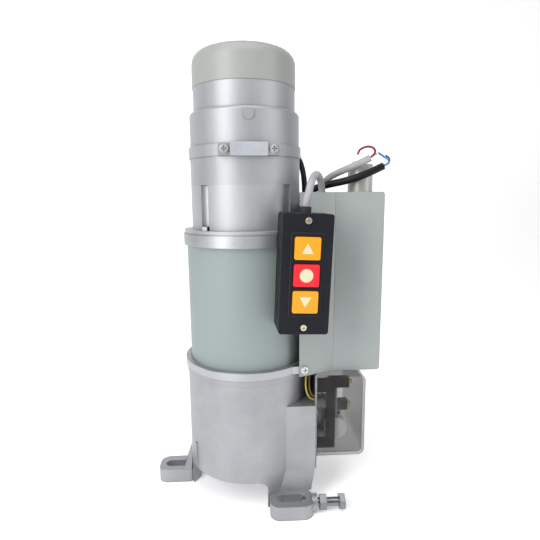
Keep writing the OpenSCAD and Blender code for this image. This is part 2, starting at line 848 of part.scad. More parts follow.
module tie_bolts() {
    for (a = tie_angles) color("gainsboro") translate(around(tie_circle_r, a)) {
        translate([0, 0, tube_low - tie_depth]) cylinder(h = flange_top - tube_low + tie_depth + eps, r = tie_r);
        translate([0, 0, flange_top]) rotate([0, 0, a]) cylinder(h = tie_head_h, r = tie_head_r, $fn = 6);
    }
}

module brake_housing() {
    web_z = disc_z + disc_t + disc_gap;
    color("silver") difference() {
        union() {
            translate([0, 0, bell_top]) cylinder(h = brake_h - shoulder_r, r = brake_r, $fn = 96);
            translate([0, 0, bell_top]) cylinder(h = brake_h, r = brake_r - shoulder_r, $fn = 96);
            translate([0, 0, brake_top - shoulder_r]) rotate_extrude($fn = 96)
                translate([brake_r - shoulder_r, 0]) intersection() {
                    circle(r = shoulder_r);
                    translate([-shoulder_r, 0]) square(2 * shoulder_r);
                }
            translate([0, 0, bell_top]) cylinder(h = top_strap_z + top_strap_h - bell_top, r = bell_r, $fn = 96);
            translate([0, 0, brake_top - over]) cylinder(h = neck_h + over, r = neck_r, $fn = 96);
            translate([0, 0, cap_low - over]) cylinder(h = cap_lap + over, r = cap_r - cap_wall - fit, $fn = 96);
        }
        translate([0, 0, bell_top - over]) cylinder(h = web_z - bell_top + over, r = brake_bore_r, $fn = 96);
        translate([0, 0, web_z - over]) cylinder(h = cap_top, r = hub_r + shell);
        translate([0, 0, web_z + brake_web_t]) cylinder(h = cap_top, r = neck_bore_r, $fn = 96);
        rotate([0, 0, plug_angle]) translate([brake_r - plug_depth, 0, brake_top - plug_below_top])
            rotate([0, 90, 0]) cylinder(h = 2 * plug_depth, r = plug_r);
    }
}

module inspection_plug() {
    color("silver") rotate([0, 0, plug_angle])
        translate([brake_r - plug_depth, 0, brake_top - plug_below_top]) rotate([0, 90, 0])
            cylinder(h = plug_depth + plug_proud, r = plug_r - fit / 2);
}

module brake_magnet() {
    color("dimgray") {
        difference() {
            ring(bell_top, magnet_h, magnet_r, magnet_in);
            ring(bell_top + magnet_h - coil_h, coil_h + over, coil_out, coil_in);
        }
        for (a = [0, 120, 240]) translate(around(pin_circle_r, a)) translate([0, 0, bell_top + magnet_h - over])
            cylinder(h = over + armature_gap + armature_t, r = guide_r);
    }
}

module brake_coil() {
    color("peru") ring(bell_top + magnet_h - coil_h, coil_h - play, coil_out - fit, coil_in + fit);
}

module brake_armature() {
    color("slategray") difference() {
        ring(bell_top + magnet_h + armature_gap, armature_t, magnet_r, magnet_in);
        for (a = [0, 120, 240]) translate(around(pin_circle_r, a)) translate([0, 0, bell_top])
            cylinder(h = brake_h, r = guide_r + play);
    }
}

module brake_disc() {
    color("saddlebrown") difference() {
        union() {
            translate([0, 0, disc_z]) cylinder(h = disc_t, r = disc_r, $fn = 96);
            translate([0, 0, disc_z]) cylinder(h = hub_h, r = hub_r);
        }
        translate([0, 0, disc_z - over]) cylinder(h = hub_h + 2 * over, r = rotor_shaft_r);
    }
}

// Side outline of the cap, with its rounded edge and crown
function cap_points(r, h, edge, crown) = concat([[0, 0], [r, 0]],
    [for (a = [0 : 15 : 90]) [r - edge + edge * cos(a), h - crown - edge + edge * sin(a)]],
    [for (k = [1 - crown_step : -crown_step : 0]) [(r - edge) * k, h - crown * k * k]]);

module rear_cap() {
    color([0.66, 0.68, 0.66]) translate([0, 0, cap_low]) difference() {
        rotate_extrude($fn = 96) polygon(cap_points(cap_r, cap_h, cap_edge_r, cap_crown));
        translate([0, 0, -eps]) rotate_extrude($fn = 96)
            polygon(cap_points(cap_r - cap_wall, cap_h - cap_wall, cap_edge_r - cap_wall, cap_crown));
    }
}

// Children placed at each screw of the limit plate
module plate_screw_places() {
    for (s = [-1, 1], z = plate_screw_z) translate([pad_face_x, s * plate_screw_y, z])
        rotate([0, 90, 0]) children();
}
module bridge_screw_places() {
    rotate([0, 0, strap_turn]) for (s = [-1, 1])
        translate([s * strap_gap_half, -lug_face, top_strap_z + top_strap_h / 2]) rotate([90, 0, 0]) children();
}
module ear_screw_places() {
    for (m = [0, 1], z = [lower_strap_z + lower_strap_h / 2, upper_strap_z + upper_strap_h / 2])
        mirror([0, m, 0]) translate([ear_screw[0], ear_screw[1], z]) rotate([90, 0, ear_angle]) children();
}
module back_screw_places() {
    for (z = back_screw_z) translate([back_screw_x, box_half, z]) rotate([-90, 0, 0]) children();
}

module pan_screws() {
    color("gainsboro") {
        for (a = pillar_angles) translate(around(pillar_circle_r, a)) translate([0, 0, plate_z + plate_t])
            pan_screw(screw_head_r, screw_head_h, screw_r, plate_t + screw_len);
        plate_screw_places() translate([0, 0, limit_plate_t])
            pan_screw(screw_head_r, screw_head_h, screw_r, screw_len);
        bridge_screw_places() pan_screw(screw_head_r, screw_head_h, screw_r, lug_screw_len);
        ear_screw_places() pan_screw(screw_head_r, screw_head_h, screw_r, screw_len / 2);
        back_screw_places() pan_screw(screw_head_r, screw_head_h, screw_r, screw_len / 2);
    }
}

module top_strap() {
    color("silver") rotate([0, 0, strap_turn]) difference() {
        union() {
            band(top_strap_z, top_strap_h, top_strap_r - over, strap_t + over,
                lug_angle + lug_lap - 90, 270 - lug_angle - lug_lap);
            for (s = [-1, 1]) translate([s * strap_gap_half - lug_w / 2, -lug_face, top_strap_z])
                cube([lug_w, lug_depth, top_strap_h]);
        }
        translate([0, 0, top_strap_z - over]) cylinder(h = top_strap_h + 2 * over, r = top_strap_r, $fn = 96);
        for (s = [-1, 1]) translate([s * strap_gap_half, 0, top_strap_z + top_strap_h / 2])
            rotate([90, 0, 0]) cylinder(h = lug_face + over, r = screw_r + fit);
    }
}

module strap_bridge() {
    half = strap_gap_half - lug_w / 2;
    color("whitesmoke") rotate([0, 0, strap_turn]) difference() {
        translate([-half, -lug_face - bridge_proud, top_strap_z - bridge_over])
            cube([2 * half, bridge_proud + lug_depth, top_strap_h + 2 * bridge_over]);
        translate([-half + bridge_t, -lug_face - bridge_proud + bridge_t, top_strap_z - bridge_over - over])
            cube([2 * (half - bridge_t), lug_depth + over + bridge_proud, top_strap_h + 2 * (bridge_over + over)]);
        translate([0, 0, top_strap_z - over]) cylinder(h = top_strap_h + 2 * over, r = top_strap_r, $fn = 96);
    }
}

// Two layer strap that holds the box to a ring, with a tab behind each ear
module box_strap(z, h, r, lap) {
    difference() {
        translate([0, 0, z]) linear_extrude(h) {
            arc_strip(r + strap_t - strap_bite, strap_t, lap, tab_angle);
            arc_strip(r, strap_t, -tab_angle, 360 + lap + lap_turn);
            for (m = [0, 1]) mirror([0, m]) {
                p = around(r + (3 / 2 - m) * strap_t, tab_angle - tab_lap);
                q = ear_tip - ear_out * (sheet_t + strap_t + fit) / 2;
                wall_between([p[0], p[1]], q, strap_t);
                wall_between(q - ear_dir * strap_t / 2, q + ear_dir * tab_reach, strap_t);
            }
        }
        ear_screw_places() cylinder(h = 2 * screw_len, r = screw_r + fit, center = true);
    }
}
module upper_box_strap() {
    color("silver") box_strap(upper_strap_z, upper_strap_h, bell_flange_r + fit, upper_lap);
}
module lower_box_strap() {
    color("silver") box_strap(lower_strap_z, lower_strap_h, socket_r + fit, lower_lap);
}

// Plate that closes the space between tube and box, cut clear of the round body
module closing_plate(z, r) {
    start = ear_tip + ear_dir * (plate_start_x - ear_tip_x) / ear_dir[0];
    translate([0, 0, z]) linear_extrude(sheet_t) difference() {
        polygon([start, ear_root, [ear_root[0], -ear_root[1]], [start[0], -start[1]]]);
        circle(r = r, $fn = 96);
    }
}

module control_box_base() {
    color([0.6, 0.64, 0.64]) difference() {
        union() {
            translate([0, 0, box_low]) linear_extrude(box_h) {
                for (m = [0, 1]) mirror([0, m]) wall_between(ear_tip, ear_root, sheet_t);
                translate([box_web_x - sheet_t, -box_half]) square([sheet_t, box_depth]);
            }
            closing_plate(box_low, socket_r + clear_round);
            closing_plate(hole_z, bell_r + clear_round);
            translate([box_web_x - eps, -shelf_half, shelf_z - sheet_t])
                cube([capacitor_x + capacitor_r - box_web_x, 2 * shelf_half, sheet_t]);
            for (z = back_screw_z) translate([box_web_x - eps, box_half - 2 * sheet_t - fit, z - lug_w / 2])
                cube([2 * (back_screw_x - box_web_x), sheet_t, lug_w]);
        }
        translate([box_web_x - 2 * sheet_t, -web_hole_w / 2, web_hole_z])
            cube([4 * sheet_t, web_hole_w, web_hole_h]);
        for (g = leads) translate([g[0][0], g[0][1], hole_z - over])
            cylinder(h = sheet_t + 2 * over, r = g[1] / 2 + grommet_wall - grommet_lip);
        ear_screw_places() cylinder(h = 2 * screw_len, r = screw_r + fit, center = true);
        back_screw_places() cylinder(h = 2 * screw_len, r = screw_r + fit, center = true);
    }
}

module cable_grommets() {
    for (g = leads) color("black") translate([g[0][0], g[0][1], hole_z]) {
        neck_r = g[1] / 2 + grommet_wall - grommet_lip - fit;
        top = lead_rise - grommet_clear;
        translate([0, 0, sheet_t]) cylinder(h = top - sheet_t, r = g[1] / 2 + grommet_wall);
        translate([0, 0, -sheet_t]) cylinder(h = top + sheet_t, r = neck_r);
        translate([0, 0, -sheet_t]) cylinder(h = sheet_t, r = g[1] / 2 + grommet_wall);
    }
}

// Sheet box outline with its two outer corners rounded
module box_shape(x0, x1, z0, z1, r) {
    translate([x0, z0]) {
        square([x1 - x0 - r, z1 - z0]);
        translate([0, r]) square([x1 - x0, z1 - z0 - 2 * r]);
        for (z = [r, z1 - z0 - r]) translate([x1 - x0 - r, z]) circle(r = r);
    }
}

module control_box_cover() {
    color([0.6, 0.64, 0.64]) difference() {
        translate([0, box_half, 0]) rotate([90, 0, 0]) linear_extrude(box_depth)
            box_shape(cover_start_x, box_face_x, box_low, box_top, box_corner_r);
        translate([0, box_half - sheet_t, 0]) rotate([90, 0, 0]) linear_extrude(box_depth - 2 * sheet_t)
            box_shape(cover_start_x - over, box_face_x - sheet_t, box_low + sheet_t, box_top - sheet_t,
                box_corner_r - sheet_t);
        translate([capacitor_x, 0, shelf_z]) cylinder(h = capacitor_len, r = capacitor_r + play);
        back_screw_places() cylinder(h = 2 * screw_len, r = screw_r + fit, center = true);
    }
}

module control_board() {
    color("darkgreen") {
        translate([box_web_x + standoff, -board_w / 2, board_low]) cube([board_t, board_w, board_h]);
        for (s = [-1, 1], z = [standoff_inset, board_h - standoff_inset])
            translate([box_web_x, s * (board_w / 2 - standoff_inset), board_low + z]) rotate([0, 90, 0])
                cylinder(h = standoff + eps, r = standoff_r);
    }
}

module board_parts() {
    x = box_web_x + standoff + board_t;
    color("royalblue") {
        for (y = [-relay_size[1] - over, over])
            translate([x, y, board_low + relay_rise]) cube(relay_size);
        translate([x, -transformer_size[1] / 2, board_low + terminal_size[2] + 2 * over]) cube(transformer_size);
        translate([x, -terminal_size[1] / 2, board_low + over]) cube(terminal_size);
    }
}

module capacitor() {
    color("gainsboro") {
        translate([capacitor_x, 0, shelf_z]) cylinder(h = capacitor_len, r = capacitor_r);
        translate([capacitor_x + capacitor_nub_x, 0, shelf_z + capacitor_len - eps])
            cylinder(h = capacitor_nub_h, r = capacitor_nub_r);
    }
}

module limit_plate() {
    color("silver") difference() {
        translate([pad_face_x, -plate_half, limit_plate_low])
            cube([limit_plate_t, 2 * plate_half, box_low - play - limit_plate_low]);
        translate([pad_face_x - over, -window_half, idler_z - play])
            cube([limit_plate_t + 2 * over, 2 * window_half, idler_t + 2 * play]);
        translate([pad_face_x - over, notch_y, notch_z]) cube([limit_plate_t + 2 * over, notch_w, notch_h]);
        plate_screw_places() cylinder(h = 2 * screw_len, r = screw_r + fit, center = true);
    }
}

module limit_frame() {
    x = pad_face_x + limit_plate_t;
    color("lightgray") difference() {
        union() {
            translate([x, frame_front, frame_low]) cube([frame_t, frame_back + frame_t - frame_front,
                frame_high - frame_low]);
            for (y = [frame_front, frame_back]) translate([x, y, frame_low])
                cube([frame_end_x - x, frame_t, frame_high - frame_low]);
            for (z = [frame_low, upper_shelf_z]) translate([x, frame_front, z])
                cube([shelf_end_x - x, frame_back - frame_front + frame_t, frame_t]);
        }
        translate([x - over, -window_half, idler_z - play])
            cube([frame_t + 2 * over, 2 * window_half, idler_t + 2 * play]);
        translate([limit_x, 0, frame_low - over])
            cylinder(h = frame_high - frame_low + 2 * over, r = worm_shaft_r + run_gap);
        translate([white_x, frame_front - over, limit_z]) rotate([-90, 0, 0])
            cylinder(h = frame_back - frame_front + frame_t + 2 * over, r = cam_shaft_r + run_gap);
    }
}

module limit_carrier() {
    x = pad_face_x + limit_plate_t;
    back = carrier_front + carrier_t;
    low_switch_front = cam_places[0] - switch_size[1] / 2;
    color([0.15, 0.15, 0.16]) {
        translate([carrier_x, carrier_front, carrier_low])
            cube([carrier_w, carrier_t, carrier_high - carrier_low]);
        for (a = [[carrier_low, arm_len_low], [arm_low, carrier_high - arm_low]])
            translate([x, carrier_front, a[0]]) cube([carrier_x - x + eps, carrier_t, a[1]]);
        translate([switch_x, back - eps, switch_low_z])
            cube([carrier_x + carrier_w - switch_x - pin_gap, low_switch_front - back + eps, switch_size[2]]);
    }
}

// One small switch with a hole for its pin
module limit_switch(y, z) {
    difference() {
        translate([switch_x, y - switch_size[1] / 2, z]) cube(switch_size);
        translate([white_x, y, z - over])
            cylinder(h = pin_depth + pin_travel + over + pin_gap, r = button_pin_r + run_gap);
    }
}
module limit_switches() {
    color([0.12, 0.12, 0.13]) {
        limit_switch(cam_places[0], switch_low_z);
        limit_switch(cam_places[1], switch_high_z);
    }
}
module limit_adjusters() {
    for (p = [[cam_places[0], switch_low_z], [cam_places[1], switch_high_z]]) color("goldenrod")
        translate([switch_x + switch_size[0], p[0], p[1] + switch_size[2] / 2]) rotate([0, 90, 0])
            cylinder(h = adjuster_len, r = adjuster_r);
}
module switch_pin(y, z) {
    low = limit_z + cam_r + pin_gap;
    color("whitesmoke") translate([white_x, y, low]) cylinder(h = z + pin_depth - low, r = button_pin_r);
}
module low_switch_pin() { switch_pin(cam_places[0], switch_low_z); }
module high_switch_pin() { switch_pin(cam_places[1], switch_high_z); }

module limit_cover() {
    x = pad_face_x + limit_plate_t + fit;
    color([0.75, 0.78, 0.8, 0.4]) difference() {
        translate([0, cover_half, 0]) rotate([90, 0, 0]) linear_extrude(2 * cover_half)
            box_shape(x, cover_face_x, cover_low, cover_low + cover_h, limit_corner_r);
        translate([0, cover_half - cover_wall, 0]) rotate([90, 0, 0]) linear_extrude(2 * (cover_half - cover_wall))
            box_shape(x - over, cover_face_x - cover_wall, cover_low + cover_wall,
                cover_low + cover_h - cover_wall, limit_corner_r - cover_wall);
    }
}
module limit_wires() {
    for (w = wire_routes) color("yellowgreen") cord(w, wire_d, 6, [1, 0.1, 0]);
}

// Station frame: children stand in it with y running into the station
module at_station() {
    translate(station_at) rotate([0, station_lean, 0]) rotate([0, 0, station_turn]) children();
}
module slab(from, to) {
    translate([0, to, 0]) rotate([90, 0, 0]) linear_extrude(to - from) children();
}
module button_places() {
    for (i = [-1 : 1]) translate([0, 0, i * button_pitch]) children();
}
module screw_posts() {
    for (s = [-1, 1]) translate([0, 0, s * station_screw_z]) rotate([-90, 0, 0]) children();
}

module station_base() {
    color([0.13, 0.14, 0.16]) at_station() difference() {
        union() {
            difference() {
                slab(front_d, station_d) round_rect(station_w, station_h, station_corner_r);
                slab(front_d - over, station_d - station_wall)
                    round_rect(station_w - 2 * station_wall, station_h - 2 * station_wall, station_corner_r / 2);
            }
            screw_posts() translate([0, 0, front_d]) cylinder(h = station_d - front_d - eps, r = post_r);
        }
        screw_posts() cylinder(h = station_d - 2 * station_wall, r = station_thread_r + fit);
    }
}

module station_cover() {
    color([0.16, 0.17, 0.2]) at_station() difference() {
        union() {
            slab(0, front_d) round_rect(station_w, station_h, station_corner_r);
            slab(-panel_rise, eps) round_rect(panel_w, panel_h, station_corner_r / 2);
        }
        slab(station_wall, front_d + over)
            round_rect(station_w - 2 * station_wall, station_h - 2 * station_wall, station_corner_r / 2);
        button_places() slab(-over - panel_rise, station_wall + over)
            round_rect(button_w + 2 * button_gap, button_h + 2 * button_gap, button_corner_r + button_gap);
        screw_posts() translate([0, 0, -over]) cylinder(h = front_d, r = station_thread_r + fit);
    }
}

module station_screws() {
    color("goldenrod") at_station() screw_posts() rotate([180, 0, 0])
        pan_screw(station_screw_r, screw_head_h / 2, station_thread_r, station_d - 3 * station_wall);
}

module contact_block() {
    color("ivory") at_station() slab(contact_y, station_d - station_wall)
        square(contact_size, center = true);
}

module station_gland() {
    color("black") at_station() translate([0, gland_y, station_h / 2]) cylinder(h = gland_h, r = gland_r);
}

module button(i, tint) {
    front = -panel_rise - button_proud;
    flange = station_wall + play;
    color(tint) at_station() translate([0, 0, i * button_pitch]) {
        slab(front, flange + eps) round_rect(button_w, button_h, button_corner_r);
        slab(flange, flange + button_lip_t)
            square([button_w + 2 * button_lip, button_h + 2 * button_lip], center = true);
        slab(flange, contact_y - button_travel - play) square(stem_w, center = true);
    }
}
module button_up() { button(1, "orange"); }
module button_stop() { button(0, "crimson"); }
module button_down() { button(-1, "orange"); }

module station_cable() { color("darkgray") cord(station_route, grey_d, 8, [1, 0, 0]); }
module motor_lead() { color([0.1, 0.1, 0.1]) cord(motor_route, motor_lead_d, 8, [0.6, -0.8, 0]); }
module supply_lead() { color([0.1, 0.1, 0.1]) cord(supply_route, black_d, 8, [0.3, 1, 0]); }
module control_lead() { color("darkgray") cord(control_route, grey_d, 8, [0.3, 1, 0]); }
module lead_cores() {
    for (c = core_routes) color("brown") cord(c, core_d, 6, [0, 1, 0]);
}

// Rotor and gear train, each pinion tooth set to a space of the gear it drives
module rotor_shaft() {
    color("gainsboro") {
        gear(0, 0, rotor_shaft_low, first_z + first_gear_t + 2 * pinion_extra - rotor_shaft_low, pinion_teeth,
            fine_mod, first_angle);
        translate([0, 0, first_z + first_gear_t + 2 * pinion_extra - eps])
            cylinder(h = disc_z + hub_h + shaft_over_disc - first_z - first_gear_t, r = rotor_shaft_r);
    }
}
module rotor_core() {
    color("dimgray") ring(core_low, core_len, rotor_r, rotor_shaft_r);
}

module countershaft(at, z_gear, t, wheel_n, wheel_m, wheel_turn, z_pinion, t_pinion, pinion_m, pinion_turn) {
    low = floor_top - journal_len + play;
    color("gainsboro") {
        difference() {
            gear(at[0], at[1], z_gear, t, wheel_n, wheel_m, wheel_turn);
            translate(at) translate([0, 0, z_gear - over]) cylinder(h = t + 2 * over, r = shaft_r - eps);
        }
        difference() {
            gear(at[0], at[1], z_pinion, t_pinion, pinion_teeth, pinion_m, pinion_turn);
            translate(at) translate([0, 0, z_pinion - over]) cylinder(h = t_pinion + 2 * over, r = shaft_r - eps);
        }
        translate(at) translate([0, 0, low]) cylinder(h = plate_z + journal_len - play - low, r = shaft_r);
    }
}
module first_countershaft() {
    countershaft(first_at, first_z, first_gear_t, wheel_teeth, fine_mod, first_angle + 180 + 180 / wheel_teeth,
        middle_z - pinion_extra, middle_gear_t + 2 * pinion_extra, middle_mod, 270);
}
module second_countershaft() {
    countershaft(second_at, middle_z, middle_gear_t, middle_teeth, middle_mod, 90 + 180 / middle_teeth,
        output_z - pinion_extra, output_gear_t + 2 * pinion_extra, fine_mod, second_angle + 180);
}
module output_shaft() {
    color("gainsboro") {
        translate([0, 0, output_shaft_low]) cylinder(h = output_shaft_top - output_shaft_low, r = output_shaft_r);
        difference() {
            gear(0, 0, output_z, output_gear_t, wheel_teeth, fine_mod, second_angle + 180 / wheel_teeth);
            translate([0, 0, output_z - over]) cylinder(h = output_gear_t + 2 * over, r = output_shaft_r - eps);
        }
    }
}

module output_sprocket() {
    color("dimgray") difference() {
        union() {
            translate([0, 0, sprocket_z]) cylinder(h = sprocket_t, r = sprocket_tip);
            translate([0, 0, output_shaft_low + ring_t]) cylinder(h = sprocket_z - output_shaft_low - ring_t + eps,
                r = hub_sprocket_r);
        }
        for (i = [0 : sprocket_teeth - 1]) rotate([0, 0, 360 / sprocket_teeth * i])
            translate([sprocket_r, 0, sprocket_z - over]) {
                cylinder(h = sprocket_t + 2 * over, r = roller_d / 2);
                translate([0, -roller_d / 2, 0]) cube([roller_d, roller_d, sprocket_t + 2 * over]);
            }
        translate([0, 0, -over]) cylinder(h = output_shaft_top, r = output_shaft_r);
    }
}

module limit_idler() {
    color("whitesmoke") difference() {
        gear(idler_x, 0, idler_z, idler_t, middle_teeth, idler_mod, 180);
        translate([idler_x, 0, idler_z - over]) cylinder(h = idler_t + 2 * over, r = idler_pin_r + run_gap);
    }
}

module limit_worm() {
    worm_low = limit_z - worm_len / 2;
    color("gainsboro") {
        difference() {
            gear(limit_x, 0, idler_z, idler_t, limit_teeth, idler_mod, 180 + 180 / limit_teeth);
            translate([limit_x, 0, idler_z - over]) cylinder(h = idler_t + 2 * over, r = worm_shaft_r - eps);
        }
        translate([limit_x, 0, frame_low - eps]) cylinder(h = upper_shelf_z + frame_t - frame_low, r = worm_shaft_r);
        translate([limit_x, 0, worm_low]) linear_extrude(worm_len, twist = -360 * worm_len / worm_turn_len,
            slices = round(worm_steps * worm_len / worm_turn_len), $fn = worm_steps)
            translate([worm_crest, 0]) circle(r = worm_r - worm_crest, $fn = worm_steps);
    }
}

module limit_wheel() {
    color("white") translate([white_x, 0, limit_z]) rotate([-90, 0, 0]) {
        difference() {
            translate([0, 0, -white_t / 2]) rotate([0, 0, 180 + 180 / white_teeth])
                linear_extrude(white_t) polygon(gear_points(white_teeth, white_mod));
            translate([0, 0, -white_t]) cylinder(h = 2 * white_t, r = cam_shaft_r - eps);
        }
        translate([0, 0, cam_shaft_front]) cylinder(h = frame_back + frame_t - cam_shaft_front, r = cam_shaft_r);
        for (i = [0, 1]) translate([0, 0, cam_places[i] - cam_t / 2]) difference() {
            cylinder(h = cam_t, r = cam_r);
            rotate([0, 0, i ? 120 : 60]) translate([cam_r + cam_dip, 0, -over])
                cylinder(h = cam_t + 2 * over, r = 2 * cam_dip);
            translate([0, 0, -over]) cylinder(h = cam_t + 2 * over, r = cam_shaft_r - eps);
        }
    }
}

module tension_bolt(s) {
    tip_x = foot_x + slot_len / 2 - bolt_tip_gap;
    af_r = bolt_af / 2 / cos(30);
    color("gainsboro") translate([0, s * foot_y, bolt_boss_r]) rotate([0, 90, 0]) {
        translate([0, 0, tip_x]) cylinder(h = bolt_len, r = bolt_r);
        translate([0, 0, tip_x + bolt_len - eps]) cylinder(h = bolt_head_t, r = af_r, $fn = 6);
        translate([0, 0, bolt_boss_x + bolt_boss_len + nut_gap]) difference() {
            cylinder(h = nut_t, r = af_r, $fn = 6);
            translate([0, 0, -over]) cylinder(h = nut_t + 2 * over, r = bolt_r + run_gap);
        }
    }
}
module front_tension_bolt() { tension_bolt(-1); }
module back_tension_bolt() { tension_bolt(1); }

gear_housing();
gear_plate();
output_bearings();
rotor_bearings();
stator_tube();
stator_core();
stator_windings();
end_bell();
tie_bolts();
brake_housing();
inspection_plug();
brake_magnet();
brake_coil();
rear_cap();
top_strap();
strap_bridge();
upper_box_strap();
lower_box_strap();
pan_screws();
control_box_base();
control_box_cover();
control_board();
board_parts();
capacitor();
cable_grommets();
limit_plate();
limit_frame();
limit_carrier();
limit_switches();
limit_adjusters();
limit_cover();
limit_wires();
station_base();
station_cover();
station_screws();
contact_block();
station_gland();
station_cable();
motor_lead();
supply_lead();
control_lead();
lead_cores();
rotor_shaft();
rotor_core();
brake_disc();
first_countershaft();
second_countershaft();
output_shaft();
output_sprocket();
limit_idler();
limit_worm();
limit_wheel();
brake_armature();
button_up();
button_stop();
button_down();
low_switch_pin();
high_switch_pin();
front_tension_bolt();
back_tension_bolt();
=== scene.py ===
import math

import bmesh
import bpy
from mathutils import Matrix, Vector


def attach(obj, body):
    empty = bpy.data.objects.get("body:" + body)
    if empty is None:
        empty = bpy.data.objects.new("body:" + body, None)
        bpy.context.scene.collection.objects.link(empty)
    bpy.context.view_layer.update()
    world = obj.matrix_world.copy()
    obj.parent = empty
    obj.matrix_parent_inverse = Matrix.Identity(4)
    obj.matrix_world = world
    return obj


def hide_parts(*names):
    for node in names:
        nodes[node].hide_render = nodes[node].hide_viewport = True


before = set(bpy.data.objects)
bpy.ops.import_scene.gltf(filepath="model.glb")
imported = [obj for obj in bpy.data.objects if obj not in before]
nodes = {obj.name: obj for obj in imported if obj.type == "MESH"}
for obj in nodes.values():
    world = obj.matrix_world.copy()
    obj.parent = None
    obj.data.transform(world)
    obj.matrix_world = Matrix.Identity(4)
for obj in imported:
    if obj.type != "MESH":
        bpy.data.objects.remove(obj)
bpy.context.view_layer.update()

print("model loaded:", len(nodes), "nodes")

# camera, in the object's own frame
view = {
    "place": (0, -0.4441, 0.28966),
    "yaw": 0.0548, "pitch": 0.1755, "roll": 0.008,   # radians
    "lens": 30.22, "sensor": 36, "shift": (-0.0033, 0.0144), "near": 0.01,
}

cameraData = bpy.data.cameras.new("photoCamera")
cameraData.lens = view["lens"]
cameraData.sensor_width = view["sensor"]
cameraData.shift_x, cameraData.shift_y = view["shift"]
cameraData.clip_start = view["near"]
camera = bpy.data.objects.new("photoCamera", cameraData)
bpy.context.scene.collection.objects.link(camera)
camera.matrix_world = (Matrix.Translation(view["place"]) @ Matrix.Rotation(-view["yaw"], 4, "Z")
                       @ Matrix.Rotation(math.pi / 2 - view["pitch"], 4, "X")
                       @ Matrix.Rotation(-view["roll"], 4, "Z"))
bpy.context.scene.camera = camera
print("camera set")


# a socket in an expression: + - * on sockets and numbers add Math nodes
class Value:
    def __init__(self, look, socket):
        self.look, self.socket = look, socket

    def maths(self, operation, first, second):
        return self.look.add("ShaderNodeMath", {"operation": operation}, {0: first, 1: second})

    def __add__(self, other):
        return self.maths("ADD", self, other)

    def __radd__(self, other):
        return self.maths("ADD", other, self)

    def __sub__(self, other):
        return self.maths("SUBTRACT", self, other)

    def __rsub__(self, other):
        return self.maths("SUBTRACT", other, self)

    def __mul__(self, other):
        return self.maths("MULTIPLY", self, other)

    def __rmul__(self, other):
        return self.maths("MULTIPLY", other, self)


# where each mask starts and ends, on a scale from 0 to 1
cuts = {
    "edge": (0.88, 0.99), "crevice": (0.30, 0.80), "cloud": (0.3, 0.7), "fleck": (0.34, 0.42),
    "rough": (0.35, 0.65), "scuff": (0.52, 0.80),
}


# one material with its Principled shader
class Look:
    def __init__(self, name, **constants):
        self.material = bpy.data.materials.new(name)
        self.material.use_nodes = True
        self.tree = self.material.node_tree
        self.shader = self.tree.nodes["Principled BSDF"]
        for key, amount in constants.items():
            self.shader.inputs[key.replace("_", " ")].default_value = amount
        self.place = self.add("ShaderNodeTexCoord", out="Object")

    def add(self, kind, settings=None, sockets=None, out=0):
        node = self.tree.nodes.new(kind)
        for key, setting in (settings or {}).items():
            if key == "stops":
                ramp = node.color_ramp.elements
                while len(ramp) < len(setting):
                    ramp.new(0.5)
                for stop, (at, shade) in zip(ramp, setting):
                    stop.position = at
                    stop.color = (shade, shade, shade, 1)
            else:
                setattr(node, key, setting)
        for key, amount in (sockets or {}).items():
            if isinstance(amount, Value):
                self.tree.links.new(amount.socket, node.inputs[key])
            else:
                node.inputs[key].default_value = amount
        return Value(self, node.outputs[out])

    def noise(self, scale, detail=2, rough=0.5, stretch=None):
        place = self.place
        if stretch:
            place = self.add("ShaderNodeMapping", None, {"Vector": place, "Scale": stretch})
        return self.add("ShaderNodeTexNoise", None, {"Vector": place, "Scale": scale, "Detail": detail,
                                                      "Roughness": rough})

    def ramp(self, amount, *stops):
        return self.add("ShaderNodeValToRGB", {"stops": stops}, {"Fac": amount})

    def rise(self, amount, cut):   # 0 below the cut's first value, 1 above its second
        return self.ramp(amount, (cuts[cut][0], 0.0), (cuts[cut][1], 1.0))

    def fall(self, amount, cut):   # the same mask the other way up
        return self.ramp(amount, (cuts[cut][0], 1.0), (cuts[cut][1], 0.0))

    def blend(self, share, first, second):   # the Mix node's colours are its sockets 6 and 7
        colours = [(*c, 1) if isinstance(c, tuple) else c for c in (first, second)]
        return self.add("ShaderNodeMix", {"data_type": "RGBA"},
                        {"Factor": share, 6: colours[0], 7: colours[1]}, out=2)

    def edges(self, radius):   # 1 along an edge, 0 on open faces
        rounded = self.add("ShaderNodeBevel", {"samples": 4}, {"Radius": radius})
        plain = self.add("ShaderNodeNewGeometry", out="Normal")
        turned = self.add("ShaderNodeVectorMath", {"operation": "DOT_PRODUCT"}, {0: rounded, 1: plain},
                          out="Value")
        return self.fall(turned, "edge")

    def creviceShade(self, reach):   # painted shade mask from ambient occlusion: 1 in narrow corners and recesses, 0 on open faces
        light = self.add("ShaderNodeAmbientOcclusion", {"samples": 6}, {"Distance": reach}, out="AO")
        return self.fall(light, "crevice")

    def feed(self, socket, amount):
        self.tree.links.new(amount.socket, self.shader.inputs[socket])

    def relief(self, height, strength, distance, roundness=0):
        sockets = {"Height": height, "Strength": strength, "Distance": distance}
        if roundness:
            sockets["Normal"] = self.add("ShaderNodeBevel", {"samples": 4}, {"Radius": roundness})
        self.feed("Normal", self.add("ShaderNodeBump", None, sockets))


# how much of its own tone a surface keeps in its flecks and in the painted shade of its crevices, and what
# its relief is made of
shares = {"fleckTone": 0.45, "shadeTone": 0.22, "roughCloud": 0.5, "roughGrain": 0.5,
          "reliefCloud": 0.3, "reliefGrain": 0.7}

# finer turned band on the end bell: how high its upper edge is, and how strongly it shows
turning = {
    "edge": 0.002,
    "bright": 0.16, "brightStops": (0.40, 0.48, 0.5), "brightTone": (0.62, 0.63, 0.64),
    "line": 0.35, "lineStops": (0.44, 0.5, 0.62), "lineTone": (0.16, 0.165, 0.17),
}
